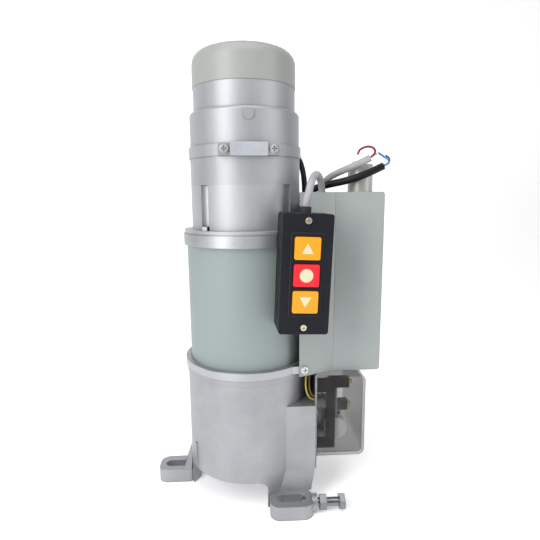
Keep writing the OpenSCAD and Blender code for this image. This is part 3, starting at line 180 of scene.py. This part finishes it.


# painted, cast or moulded surface: two tones of one colour, fine grain, worn edges, painted shade in
# corners and recesses
def surface(name, settings):
    look = Look(name, **settings.get("constants", {}))
    tone = settings["tone"]
    dark = tuple(c * (1 - settings["spread"]) for c in tone)
    light = tuple(min(1, c * (1 + settings["spread"])) for c in tone)
    cloud = look.noise(settings["cloud"], detail=4, rough=0.6, stretch=settings.get("stretch"))
    grain = look.noise(settings["grain"], detail=3, rough=0.6)
    colour = look.blend(look.rise(cloud, "cloud"), dark, light)
    if settings.get("fleck"):
        speck = look.fall(grain, "fleck")
        colour = look.blend(speck * settings["fleck"], colour,
                            tuple(c * shares["fleckTone"] for c in tone))
    if settings.get("step"):   # turned finer below this height, with a dark line where the cut stopped
        height = look.add("ShaderNodeSeparateXYZ", None, {"Vector": look.place}, out="Z")
        above = (height - settings["step"]) * (1 / turning["edge"]) + 0.5
        band = look.ramp(above, *zip(turning["brightStops"], (turning["bright"], turning["bright"], 0.0)))
        colour = look.blend(band, colour, turning["brightTone"])
        line = look.ramp(above, *zip(turning["lineStops"], (0.0, turning["line"], 0.0)))
        colour = look.blend(line, colour, turning["lineTone"])
    if settings.get("wear"):
        colour = look.blend(look.edges(settings["round"]) * settings["wear"], colour, settings["bare"])
    # painted shade: the colour darkens towards a share of its own tone in corners and recesses, where less
    # light reaches
    if settings.get("paintedShade"):
        colour = look.blend(look.creviceShade(settings["shadeReach"]) * settings["paintedShade"], colour,
                            tuple(c * shares["shadeTone"] for c in tone))
    look.feed("Base Color", colour)
    low, high = settings["rough"]
    uneven = look.rise(cloud * shares["roughCloud"] + grain * shares["roughGrain"], "rough")
    look.feed("Roughness", low + (high - low) * uneven)
    height = grain * shares["reliefGrain"] + cloud * shares["reliefCloud"]
    look.relief(height, settings["bump"], settings["depth"], settings.get("round", 0))
    return look


# cloud and grain are the scales of a look's large and fine noise, round is the radius of a worn edge,
# the crevice reach is how near two faces come before shade is painted between them, and step is the height
# where the turned band ends
silver = {
    "tone": (0.50, 0.505, 0.53), "spread": 0.13, "cloud": 26, "grain": 850, "rough": (0.36, 0.54),
    "bump": 0.35, "depth": 0.0004, "round": 0.0007, "fleck": 0.10, "wear": 0.35,
    "bare": (0.62, 0.62, 0.65), "paintedShade": 0.6, "shadeReach": 0.003, "constants": {"Metallic": 0.78},
}
finishes = {
    "castSilver": {**silver, "tone": (0.345, 0.350, 0.366), "constants": {"Metallic": 0.7}},
    "turnedSilver": {
        **silver, "tone": (0.40, 0.412, 0.425), "spread": 0.15, "cloud": 16, "stretch": (1, 1, 0.25),
        "grain": 1400, "constants": {"Metallic": 0.6}, "step": 0.3008, "bump": 0.25, "round": 0.0006,
        "fleck": 0.06, "rough": (0.44, 0.60)},
    "strapSilver": {
        **silver, "tone": (0.42, 0.43, 0.45), "grain": 1600, "bump": 0.15, "round": 0.0003, "fleck": 0,
        "rough": (0.36, 0.50)},
    "bridgeSilver": {
        **silver, "tone": (0.49, 0.51, 0.555), "grain": 1600, "bump": 0.12, "round": 0.0003, "fleck": 0,
        "rough": (0.42, 0.56), "constants": {"Metallic": 0.5}},
    # screws take the strongest painted shade, which darkens their recessed crosses
    "screwSteel": {
        "tone": (0.66, 0.665, 0.66), "spread": 0.08, "cloud": 220, "grain": 1700, "rough": (0.30, 0.46),
        "bump": 0.1, "depth": 0.0002, "round": 0.0002, "paintedShade": 1.0, "shadeReach": 0.0016,
        "constants": {"Metallic": 0.75}},
    "greyTube": {
        "tone": (0.236, 0.280, 0.270), "spread": 0.08, "cloud": 9, "stretch": (1, 1, 0.12), "grain": 700,
        "rough": (0.40, 0.52), "bump": 0.12, "depth": 0.0003},
    "capGrey": {
        "tone": (0.285, 0.298, 0.280), "spread": 0.05, "cloud": 14, "grain": 1200, "rough": (0.36, 0.48),
        "bump": 0.15, "depth": 0.0003, "round": 0.0005},
    "boxPaint": {
        "tone": (0.298, 0.326, 0.318), "spread": 0.05, "cloud": 12, "grain": 520, "rough": (0.38, 0.50),
        "bump": 0.14, "depth": 0.0004, "round": 0.0006, "wear": 0.25, "bare": (0.5, 0.53, 0.53),
        "paintedShade": 0.7, "shadeReach": 0.002},
    "zinc": {
        "tone": (0.225, 0.24, 0.25), "spread": 0.22, "cloud": 160, "grain": 1800, "rough": (0.22, 0.42),
        "bump": 0.12, "depth": 0.0002, "round": 0.0003, "paintedShade": 0.6, "shadeReach": 0.0015,
        "constants": {"Metallic": 1.0}},
    "ironCore": {
        "tone": (0.20, 0.20, 0.21), "spread": 0.2, "cloud": 60, "stretch": (1, 1, 40), "grain": 900,
        "rough": (0.4, 0.6), "bump": 0.3, "depth": 0.0004, "constants": {"Metallic": 0.8}},
    "copperWire": {
        "tone": (0.55, 0.22, 0.09), "spread": 0.25, "cloud": 240, "stretch": (1, 1, 0.2), "grain": 1500,
        "rough": (0.25, 0.4), "bump": 0.4, "depth": 0.0005, "constants": {"Metallic": 0.6}},
    "greenBoard": {
        "tone": (0.02, 0.16, 0.07), "spread": 0.25, "cloud": 150, "grain": 900, "rough": (0.3, 0.45),
        "bump": 0.1, "depth": 0.0002},
    "bluePart": {
        "tone": (0.04, 0.12, 0.36), "spread": 0.08, "cloud": 60, "grain": 900, "rough": (0.35, 0.5),
        "bump": 0.1, "depth": 0.0002, "round": 0.0005},
    "greyCan": {
        "tone": (0.50, 0.49, 0.455), "spread": 0.07, "cloud": 26, "stretch": (1, 1, 0.2), "grain": 1100,
        "rough": (0.32, 0.46), "bump": 0.1, "depth": 0.0002, "round": 0.0006,
        "constants": {"Metallic": 0.25}},
    "blackPlastic": {
        "tone": (0.0075, 0.0085, 0.013), "spread": 0.18, "cloud": 40, "grain": 1500,
        "rough": (0.42, 0.58), "bump": 0.3, "depth": 0.0002, "round": 0.0007, "wear": 0.55,
        "bare": (0.085, 0.09, 0.105), "constants": {"Specular_IOR_Level": 0.2}},
    "blackRubber": {
        "tone": (0.02, 0.02, 0.022), "spread": 0.15, "cloud": 80, "grain": 1200, "rough": (0.6, 0.75),
        "bump": 0.2, "depth": 0.0002},
    "brass": {
        "tone": (0.70, 0.50, 0.20), "spread": 0.15, "cloud": 200, "grain": 1600, "rough": (0.22, 0.4),
        "bump": 0.12, "depth": 0.0002, "round": 0.0002, "constants": {"Metallic": 1.0}},
    "paleBrass": {
        "tone": (0.80, 0.73, 0.56), "spread": 0.1, "cloud": 200, "grain": 1600, "rough": (0.2, 0.35),
        "bump": 0.1, "depth": 0.0002, "round": 0.0002, "paintedShade": 1.0, "shadeReach": 0.0014,
        "constants": {"Metallic": 0.9}},
    "ivory": {
        "tone": (0.66, 0.63, 0.52), "spread": 0.04, "cloud": 80, "grain": 1300, "rough": (0.4, 0.5),
        "bump": 0.1, "depth": 0.0002, "round": 0.0003},
    "whiteNylon": {
        "tone": (0.74, 0.75, 0.74), "spread": 0.05, "cloud": 70, "grain": 1000, "rough": (0.4, 0.5),
        "bump": 0.12, "depth": 0.0002},
    "brakeLining": {
        "tone": (0.16, 0.11, 0.08), "spread": 0.3, "cloud": 300, "grain": 1500, "rough": (0.7, 0.85),
        "bump": 0.4, "depth": 0.0003},
    "orangeKey": {
        "tone": (0.84, 0.31, 0.004), "spread": 0.04, "cloud": 50, "grain": 1500, "rough": (0.30, 0.42),
        "bump": 0.08, "depth": 0.0002, "round": 0.0006},
    "redKey": {
        "tone": (0.72, 0.008, 0.022), "spread": 0.05, "cloud": 50, "grain": 1500, "rough": (0.30, 0.42),
        "bump": 0.08, "depth": 0.0002, "round": 0.0006},
    "creamPrint": {
        "tone": (0.62, 0.58, 0.38), "spread": 0.05, "cloud": 120, "grain": 1800, "rough": (0.45, 0.55),
        "bump": 0.1, "depth": 0.0001},
}
looks = {name: surface(name, settings) for name, settings in finishes.items()}

sheathTones = {
    "greySheath": (0.36, 0.36, 0.37),
    "blackSheath": (0.005, 0.005, 0.006),
    "redCore": (0.21, 0.022, 0.026),
    "brownCore": (0.16, 0.06, 0.03),
    "whiteCore": (0.66, 0.66, 0.64),
    "blueCore": (0.05, 0.22, 0.52),
    "yellowWire": (0.40, 0.34, 0.06),
    "brownWire": (0.20, 0.10, 0.05),
}
sheath = {
    "spread": 0.1, "cloud": 90, "grain": 1400, "rough": (0.38, 0.54), "bump": 0.12, "depth": 0.0002,
    "constants": {"Specular_IOR_Level": 0.25},
}
for name, tone in sheathTones.items():
    looks[name] = surface(name, {**sheath, "tone": tone})


# clear moulded cover: smoky and see-through, hazy where it is scuffed, with darker moulded corners
clear = {
    "bend": 1.49, "gloss": 0.22, "scuffs": 40, "corner": 0.002, "rim": 0.25,
    "ripples": 60, "bump": 0.10, "depth": 0.0005, "round": 0.0012,
    "smoke": (0.050, 0.044, 0.040), "scuffTone": (0.20, 0.195, 0.19), "cornerTone": (0.035, 0.04, 0.048),
    "rough": 0.05, "scuffRough": 0.2,
    "veil": 0.19, "scuffVeil": 0.06, "rimVeil": 0.60, "cornerVeil": 0.45,
}


def clearLook():
    look = Look("clearCover", IOR=clear["bend"], Specular_IOR_Level=clear["gloss"])
    scuff = look.rise(look.noise(clear["scuffs"], detail=5, rough=0.65), "scuff")
    rim = look.add("ShaderNodeLayerWeight", None, {"Blend": clear["rim"]}, out="Facing")
    corner = look.edges(clear["corner"])
    tint = look.blend(scuff, clear["smoke"], clear["scuffTone"])
    look.feed("Base Color", look.blend(corner, tint, clear["cornerTone"]))
    look.feed("Roughness", clear["rough"] + clear["scuffRough"] * scuff)
    look.feed("Alpha", clear["veil"] + clear["scuffVeil"] * scuff + clear["rimVeil"] * rim
              + clear["cornerVeil"] * corner)
    look.relief(look.noise(clear["ripples"]), clear["bump"], clear["depth"], clear["round"])
    return look


looks["clearCover"] = clearLook()
print("looks made:", len(looks))

# each cord's route through the model and its thickness, in millimetres
cords = {
    "stationCable": {
        "node": "station_cable", "look": "greySheath", "slot": "grey_sheath", "thick": 6.4,
        "end": "object", "stiff": "medium",
        "route": [(49.1, -66.5, 282.4), (50, -66.2, 287), (52.2, -63.2, 293), (54.6, -57, 300),
                  (58, -48, 306), (61.7, -38.5, 309.2), (65.3, -29.5, 308.8), (68.3, -22.5, 305),
                  (70.4, -17.8, 299), (71.4, -15.4, 292), (71.5, -15, 284)]},
    "motorLead": {
        "node": "motor_lead", "look": "blackSheath", "slot": "black_sheath", "thick": 5.5,
        "end": "object", "stiff": "medium",
        "route": [(42.3, 29.6, 339), (47, 33, 338), (52, 32, 333), (55.6, 27.5, 325), (57.6, 22, 316),
                  (58.5, 17, 306), (58.6, 13.8, 296), (58.5, 13, 284)]},
    "supplyLead": {
        "node": "supply_lead", "look": "blackSheath", "slot": "black_sheath", "thick": 6.8, "end": "bare",
        "stiff": "medium", "cores": ["blueCoreEnd", "brownCore"],
        "route": [(61, 3, 284), (61.3, 2.8, 289), (62.8, 2, 293.8), (66.6, 0.5, 297.4), (73, -2.4, 299.8),
                  (81, -6.5, 301.8), (90, -11.5, 303.6), (100, -15.8, 306.2), (109, -18, 309.3),
                  (118, -19.3, 313.1), (127.5, -20, 317.6)]},
    "controlLead": {
        "node": "control_lead", "look": "greySheath", "slot": "grey_sheath", "thick": 6.4, "end": "bare",
        "stiff": "medium", "cores": ["whiteCore", "redCore"],
        "route": [(74.2, 9, 284), (74.2, 9, 290.5), (74.7, 8.7, 297), (76.9, 7.3, 303), (81, 3.2, 308),
                  (86.6, -3.2, 311.6), (93.5, -10.2, 314.8), (101, -15.8, 318), (108, -18.3, 321.2),
                  (115, -19.6, 324.7)]},
    "blueCoreEnd": {
        "node": "lead_cores", "look": "blueCore", "slot": "cores", "thick": 2, "end": None,
        "stiff": "limp",
        "route": [(127.9, -21.4, 318), (131.6, -21.2, 319.8), (131.2, -21.8, 323), (126.6, -22, 326),
                  (121.6, -22, 329)]},
    "brownCore": {
        "node": "lead_cores", "look": "brownCore", "slot": "cores", "thick": 2, "end": None,
        "stiff": "limp",
        "route": [(128.1, -18.6, 317.7), (132.6, -18.8, 320.4), (133, -18.4, 324.4), (129.6, -18, 327)]},
    "whiteCore": {
        "node": "lead_cores", "look": "whiteCore", "slot": "cores", "thick": 2, "end": None,
        "stiff": "limp",
        "route": [(115.7, -18.3, 325.4), (118.4, -19, 327.6), (121, -18.8, 328.4)]},
    "redCore": {
        "node": "lead_cores", "look": "redCore", "slot": "cores", "thick": 2, "end": None, "stiff": "limp",
        "route": [(115.3, -21, 325.2), (119, -21.2, 329.6), (116.6, -22, 333.6), (110.6, -22.4, 334.4),
                  (104.6, -22.4, 331.8), (102.6, -22, 327.6)]},
    "yellowWire": {
        "node": "limit_wires", "look": "yellowWire", "slot": "wire", "thick": 1.8, "end": "object",
        "stiff": "limp",
        "route": [(56, -34, 125.4), (54, -37.4, 117), (54.4, -40.4, 108), (57.4, -41.2, 101.6),
                  (62.7, -40.6, 98.6), (67, -37.6, 95), (71.5, -31.4, 91), (76.2, -26.9, 88)]},
    "brownWire": {
        "node": "limit_wires", "look": "brownWire", "slot": "wire", "thick": 1.8, "end": "object",
        "stiff": "limp",
        "route": [(60, -30, 125.2), (58, -34, 117), (57.8, -37.4, 109), (59.6, -38.6, 103.6),
                  (63, -38.4, 101.4), (68, -36.4, 101.4), (72, -31.4, 104), (76.2, -30.3, 108.3)]},
}


# how finely a cord is drawn: steps from one point of its route to the next, and round its section
fineness = {"along": 4, "round": 5}


# a smooth line in metres through all the points
def smoothLine(points):
    steps = fineness["along"]
    line = [Vector(p) / 1000 for p in points]
    ends = [2 * line[0] - line[1]] + line + [2 * line[-1] - line[-2]]
    out = []
    for a, b, c, d in zip(ends, ends[1:], ends[2:], ends[3:]):
        for k in range(steps):
            t = k / steps
            out.append(0.5 * (2 * b + (c - a) * t + (2 * a - 5 * b + 4 * c - d) * t * t
                              + (3 * b - a - 3 * c + d) * t ** 3))
    return out + [line[-1]]


def layCord(name, facts):
    line = smoothLine(facts["route"])
    curve = bpy.data.curves.new(name, "CURVE")
    curve.dimensions = "3D"
    curve.bevel_depth = facts["thick"] / 2000   # half the thickness, in metres
    curve.bevel_resolution = fineness["round"]
    curve.use_fill_caps = True
    spline = curve.splines.new("POLY")
    spline.points.add(len(line) - 1)
    for point, place in zip(spline.points, line):
        point.co = (*place, 1)
    spline.use_smooth = True
    curve.materials.append(looks[facts["look"]].material)
    cordObject = bpy.data.objects.new(name, curve)
    bpy.context.scene.collection.objects.link(cordObject)
    length = sum((b - a).length for a, b in zip(line, line[1:]))
    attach(cordObject, "root")
    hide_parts(facts["node"])
    if facts["end"]:   # the thickness in metres is worked out here, but nothing uses it
        facts["thick"] / 1000
    print("cord", name, round(length * 1000, 1), "mm")


for name, facts in sorted(cords.items(), key=lambda item: item[1]["end"] is not None):
    layCord(name, facts)

# flat faces stay flat and round ones smooth
crisp = {"joined": 0.000002, "sharpest": 28, "evenness": 50}


def crispEdges(piece):
    weld = piece.modifiers.new("weld", "WELD")
    weld.merge_threshold = crisp["joined"]
    split = piece.modifiers.new("split", "EDGE_SPLIT")
    split.split_angle = math.radians(crisp["sharpest"])
    split.use_edge_sharp = False
    even = piece.modifiers.new("even", "WEIGHTED_NORMAL")
    even.weight = crisp["evenness"]


# which look each node of the model carries
nodeLooks = {
    "castSilver": "gear_housing gear_plate",
    "turnedSilver": "end_bell brake_housing inspection_plug top_strap",
    "screwSteel": "pan_screws",
    "bridgeSilver": "strap_bridge",
    "strapSilver": "upper_box_strap lower_box_strap",
    "greyTube": "stator_tube",
    "capGrey": "rear_cap",
    "boxPaint": "control_box_base control_box_cover",
    "zinc":
        "output_bearings rotor_bearings tie_bolts limit_plate limit_frame rotor_shaft "
        "first_countershaft second_countershaft output_shaft output_sprocket limit_worm "
        "brake_armature front_tension_bolt back_tension_bolt low_switch_pin high_switch_pin",
    "ironCore": "stator_core rotor_core brake_magnet",
    "copperWire": "stator_windings brake_coil",
    "greenBoard": "control_board",
    "bluePart": "board_parts",
    "greyCan": "capacitor",
    "blackPlastic": "limit_carrier limit_switches station_base station_cover",
    "blackRubber": "cable_grommets station_gland",
    "clearCover": "limit_cover",
    "brass": "limit_adjusters",
    "paleBrass": "station_screws",
    "ivory": "contact_block",
    "whiteNylon": "limit_idler limit_wheel",
    "brakeLining": "brake_disc",
    "orangeKey": "button_up button_down",
    "redKey": "button_stop",
}
for lookName, names in nodeLooks.items():
    for nodeName in names.split():
        for slot in nodes[nodeName].material_slots:
            slot.material = looks[lookName].material
        crispEdges(nodes[nodeName])
print("nodes dressed")

# the station's own frame, x along its face, y into it and z up, and the symbols on its buttons
station = {"at": (0.0476, -0.084, 0.2272), "lean": 2.5, "turn": 3, "pitch": 0.022, "front": -0.0024,
           "rise": 0.00025, "sunk": 0.0003, "rimShare": 0.6, "topShare": 0.97,
           "circle": 0.0055, "circleSteps": 48,
           "wide": 0.0098, "high": 0.0086, "soft": 0.0006, "softSteps": 4}
stationFrame = (Matrix.Translation(station["at"]) @ Matrix.Rotation(math.radians(station["lean"]), 4, "Y")
                @ Matrix.Rotation(math.radians(station["turn"]), 4, "Z"))


# a thin raised symbol with rounded corners and a chamfered rim
def buttonSymbol(name, body, place, corners, soft):
    outline = []
    for k, corner in enumerate(corners):
        before, after = Vector(corners[k - 1]), Vector(corners[(k + 1) % len(corners)])
        corner = Vector(corner)
        if not soft:
            outline.append(corner)
            continue
        a = corner + (before - corner).normalized() * soft
        b = corner + (after - corner).normalized() * soft
        for t in (step / station["softSteps"] for step in range(station["softSteps"] + 1)):
            pull = 2 * t * (1 - t)
            outline.append(a.lerp(corner, pull).lerp(b.lerp(corner, pull), t))
    mesh = bpy.data.meshes.new(name)
    shape = bmesh.new()
    front, rise = station["front"], station["rise"]
    levels = ((front + station["sunk"], 1), (front - rise * station["rimShare"], 1),
              (front - rise, station["topShare"]))
    height = place * station["pitch"]
    back, rim, top = ([shape.verts.new(stationFrame @ Vector((x * size, y, height + z * size)))
                       for x, z in outline] for y, size in levels)
    for low, high in ((back, rim), (rim, top)):
        for k in range(len(low)):
            n = (k + 1) % len(low)
            shape.faces.new((low[k], low[n], high[n], high[k]))
    shape.faces.new(top)
    shape.faces.new(back[::-1])
    bmesh.ops.recalc_face_normals(shape, faces=shape.faces)
    shape.to_mesh(mesh)
    shape.free()
    mesh.materials.append(looks["creamPrint"].material)
    symbol = bpy.data.objects.new(name, mesh)
    bpy.context.scene.collection.objects.link(symbol)
    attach(symbol, body)


halfWide, halfHigh = station["wide"] / 2, station["high"] / 2
triangle = [(-halfWide, -halfHigh), (halfWide, -halfHigh), (0, halfHigh)]
turns = [k * 2 * math.pi / station["circleSteps"] for k in range(station["circleSteps"])]
circle = [(station["circle"] * math.cos(a), station["circle"] * math.sin(a)) for a in turns]
buttonSymbol("upSymbol", "up_button", 1, triangle, station["soft"])
buttonSymbol("downSymbol", "down_button", -1, [(x, -z) for x, z in triangle], station["soft"])
buttonSymbol("stopSymbol", "stop_button", 0, circle, 0)
print("button symbols made")

# floor, backdrop and soft light
room = {"half": 3.0, "wall": 1.4, "bend": 0.6, "bendSteps": 12, "height": 2.6, "under": 0.0002,
        "tone": (0.95, 0.95, 0.95), "mottle": 0.97, "mottleScale": 3, "rough": 0.9, "glow": 0.30}
bendStart, bend = room["wall"] - room["bend"], room["bend"]
steps = [(-room["half"], 0.0), (bendStart, 0.0)]
steps += [(bendStart + bend * math.sin(a), bend - bend * math.cos(a))
          for a in (math.pi / 2 * k / room["bendSteps"] for k in range(1, room["bendSteps"] + 1))]
steps.append((room["wall"], room["height"]))
sweep = bpy.data.meshes.new("sweep")
corners = [(x, y, z - room["under"]) for y, z in steps for x in (-room["half"], room["half"])]
sweep.from_pydata(corners, [], [(2 * k, 2 * k + 1, 2 * k + 3, 2 * k + 2) for k in range(len(steps) - 1)])
for face in sweep.polygons:
    face.use_smooth = True
paper = Look("paperSweep", Roughness=room["rough"], Emission_Color=(1, 1, 1, 1),
             Emission_Strength=room["glow"])
darker = tuple(room["mottle"] * c for c in room["tone"])
paper.feed("Base Color", paper.blend(paper.noise(room["mottleScale"]), darker, room["tone"]))
sweep.materials.append(paper.material)
sweepObject = bpy.data.objects.new("sweep", sweep)
bpy.context.scene.collection.objects.link(sweepObject)

aimPoint = Vector((0.02, 0, 0.22))
lamps = {
    "leftSoftbox": {"place": (-0.75, -0.85, 0.7), "size": (0.45, 1.2), "power": 13},
    "rightSoftbox": {"place": (1.1, -0.7, 0.6), "size": (0.5, 1.1), "power": 5},
    "topSoftbox": {"place": (0.0, -0.3, 1.5), "size": (1.4, 1.2), "power": 11},
}
for name, lamp in lamps.items():
    light = bpy.data.lights.new(name, "AREA")
    light.shape = "RECTANGLE"
    light.size, light.size_y = lamp["size"]
    light.energy = lamp["power"]
    lightObject = bpy.data.objects.new(name, light)
    lightObject.location = lamp["place"]
    aim = aimPoint - Vector(lamp["place"])
    lightObject.rotation_euler = aim.to_track_quat("-Z", "Y").to_euler()
    bpy.context.scene.collection.objects.link(lightObject)

sky = {"tone": (0.95, 0.96, 1.0, 1), "strength": 0.26}
world = bpy.data.worlds.new("studio")
world.use_nodes = True
world.node_tree.nodes["Background"].inputs["Color"].default_value = sky["tone"]
world.node_tree.nodes["Background"].inputs["Strength"].default_value = sky["strength"]
bpy.context.scene.world = world
bpy.context.scene.view_settings.view_transform = "Standard"
print("studio set")
